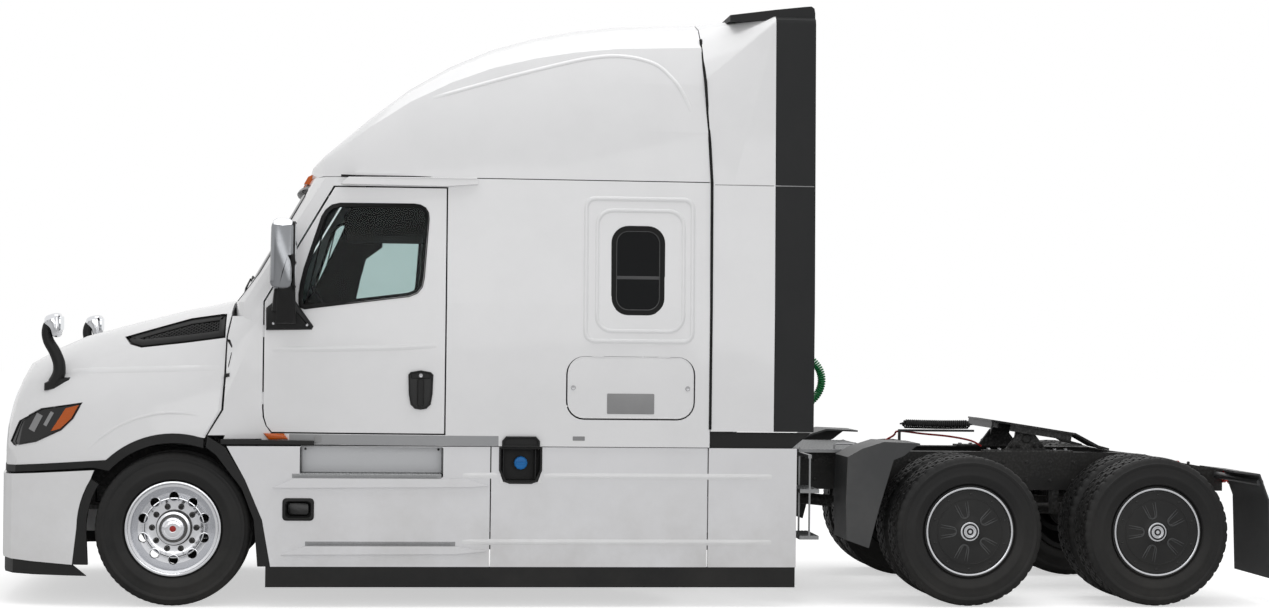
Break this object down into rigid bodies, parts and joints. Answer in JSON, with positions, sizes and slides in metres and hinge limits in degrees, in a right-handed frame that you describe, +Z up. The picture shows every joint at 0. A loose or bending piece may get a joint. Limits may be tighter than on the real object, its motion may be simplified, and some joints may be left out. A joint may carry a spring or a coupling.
{
  "type": "semi truck tractor unit",
  "caption": "Bonneted semi truck tractor with a raised-roof sleeper cab, side fairings, twin drive axles, a tilting fifth wheel, steered front wheels, opening hood, doors and luggage doors.",
  "frame": {"origin": "on the ground under the middle of the overall length, on the centre line", "axes": "+X forward (towards the nose), +Y to the vehicle's left, +Z up"},
  "size_m": [8.6, 2.98, 4.025],
  "materials": {
    "white_paint": "gloss",
    "frame_black": "satin",
    "black_plastic": "matte",
    "dark_rubber": "matte",
    "tyre_rubber": "matte",
    "polished_aluminium": "polished",
    "tread_aluminium": "satin",
    "wheel_cover": "satin",
    "window_glass": "clear",
    "lamp_lens": "clear",
    "cast_steel": "satin",
    "engine_grey": "matte",
    "chrome": "polished",
    "mirror_shell": "gloss",
    "interior_grey": "matte",
    "seat_cloth": "woven",
    "cable_green": "gloss",
    "floor_grey": "matte"
  },
  "bodies": {
    "cab_and_frame": {"chassis_frame": "frame_black", "axles": "cast_steel", "suspension": "cast_steel", "engine": "engine_grey", "fuel_tanks": "polished_aluminium", "prop_shafts": "cast_steel", "front_bumper": "white_paint", "lower_trim": "black_plastic", "cab_floor": "floor_grey", "cab_side_walls": "white_paint", "cab_back_wall": "white_paint", "cab_front": "white_paint", "roof_fairing": "white_paint", "side_extenders": "white_paint", "extender_flaps": "dark_rubber", "cab_glass": "window_glass", "dashboard": "interior_grey", "steering_wheel": "interior_grey", "seats": "seat_cloth", "bunk": "seat_cloth", "side_fairings": "white_paint", "steps_and_deck": "tread_aluminium", "fifth_wheel_base": "cast_steel", "rear_mudguards": "black_plastic", "trailer_sockets": "black_plastic", "trailer_cable": "cable_green", "air_hoses": "dark_rubber"},
    "hood": {"hood_shell": "white_paint", "grille": "black_plastic", "headlights": "lamp_lens", "hood_mirrors": "black_plastic", "hood_trim": "black_plastic"},
    "left_door": {"door_left": "white_paint", "door_glass_left": "window_glass", "side_mirror_left": "mirror_shell"},
    "right_door": {"door_right": "white_paint", "door_glass_right": "window_glass", "side_mirror_right": "mirror_shell"},
    "left_luggage_door": {"luggage_door_left": "white_paint"},
    "right_luggage_door": {"luggage_door_right": "white_paint"},
    "fifth_wheel": {"fifth_wheel_plate": "cast_steel"},
    "left_knuckle": {"knuckle_left": "cast_steel"},
    "right_knuckle": {"knuckle_right": "cast_steel"},
    "steering_tie_rod": {"tie_rod": "cast_steel"},
    "front_left_wheel": {"front_tyre_left": "tyre_rubber", "front_wheel_left": "polished_aluminium"},
    "front_right_wheel": {"front_tyre_right": "tyre_rubber", "front_wheel_right": "polished_aluminium"},
    "drive_front_left": {"drive_tyres_front_left": "tyre_rubber", "drive_wheels_front_left": "wheel_cover"},
    "drive_front_right": {"drive_tyres_front_right": "tyre_rubber", "drive_wheels_front_right": "wheel_cover"},
    "drive_rear_left": {"drive_tyres_rear_left": "tyre_rubber", "drive_wheels_rear_left": "wheel_cover"},
    "drive_rear_right": {"drive_tyres_rear_right": "tyre_rubber", "drive_wheels_rear_right": "wheel_cover"}
  },
  "joints": [
    {"name": "hood_tilt", "type": "hinge", "parent": "cab_and_frame", "child": "hood", "pos_m": [4.275, 0, 0.879], "axis": [0, 1, 0], "range_deg": [0, 75]},
    {"name": "left_door_swing", "type": "hinge", "parent": "cab_and_frame", "child": "left_door", "pos_m": [2.533, 1.1195, 2], "axis": [0, 0, -1], "range_deg": [0, 70]},
    {"name": "right_door_swing", "type": "hinge", "parent": "cab_and_frame", "child": "right_door", "pos_m": [2.533, -1.1195, 2], "axis": [0, 0, 1], "range_deg": [0, 70]},
    {"name": "left_luggage_door_lift", "type": "hinge", "parent": "cab_and_frame", "child": "left_luggage_door", "pos_m": [0.117, 1.216, 1.653], "axis": [1, 0, 0], "range_deg": [0, 85]},
    {"name": "right_luggage_door_lift", "type": "hinge", "parent": "cab_and_frame", "child": "right_luggage_door", "pos_m": [0.117, -1.216, 1.653], "axis": [-1, 0, 0], "range_deg": [0, 85]},
    {"name": "fifth_wheel_tilt", "type": "hinge", "parent": "cab_and_frame", "child": "fifth_wheel", "pos_m": [-2.84, 0, 1.092], "axis": [0, 1, 0], "range_deg": [0, 20]},
    {"name": "steer_left", "type": "hinge", "parent": "cab_and_frame", "child": "left_knuckle", "pos_m": [3.1, 0.875, 0.506], "axis": [0, 0, 1], "range_deg": [-38, 38]},
    {"name": "steer_right", "type": "hinge", "parent": "cab_and_frame", "child": "right_knuckle", "pos_m": [3.1, -0.875, 0.506], "axis": [0, 0, 1], "range_deg": [-38, 38]},
    {"name": "tie_rod_pivot", "type": "hinge", "parent": "left_knuckle", "child": "steering_tie_rod", "pos_m": [2.92, 0.875, 0.361], "axis": [0, 0, 1], "range_deg": [-38, 38]},
    {"name": "front_left_roll", "type": "hinge", "parent": "left_knuckle", "child": "front_left_wheel", "pos_m": [3.1, 1.04, 0.506], "axis": [0, 1, 0], "continuous": true},
    {"name": "front_right_roll", "type": "hinge", "parent": "right_knuckle", "child": "front_right_wheel", "pos_m": [3.1, -1.04, 0.506], "axis": [0, 1, 0], "continuous": true},
    {"name": "drive_front_left_roll", "type": "hinge", "parent": "cab_and_frame", "child": "drive_front_left", "pos_m": [-2.19, 0.904, 0.506], "axis": [0, 1, 0], "continuous": true},
    {"name": "drive_front_right_roll", "type": "hinge", "parent": "cab_and_frame", "child": "drive_front_right", "pos_m": [-2.19, -0.904, 0.506], "axis": [0, 1, 0], "continuous": true},
    {"name": "drive_rear_left_roll", "type": "hinge", "parent": "cab_and_frame", "child": "drive_rear_left", "pos_m": [-3.49, 0.904, 0.506], "axis": [0, 1, 0], "continuous": true},
    {"name": "drive_rear_right_roll", "type": "hinge", "parent": "cab_and_frame", "child": "drive_rear_right", "pos_m": [-3.49, -0.904, 0.506], "axis": [0, 1, 0], "continuous": true}
  ],
  "couplings": [
    {"joint": "steer_right", "follows": "steer_left", "ratio": 1},
    {"joint": "tie_rod_pivot", "follows": "steer_left", "ratio": -1}
  ]
}
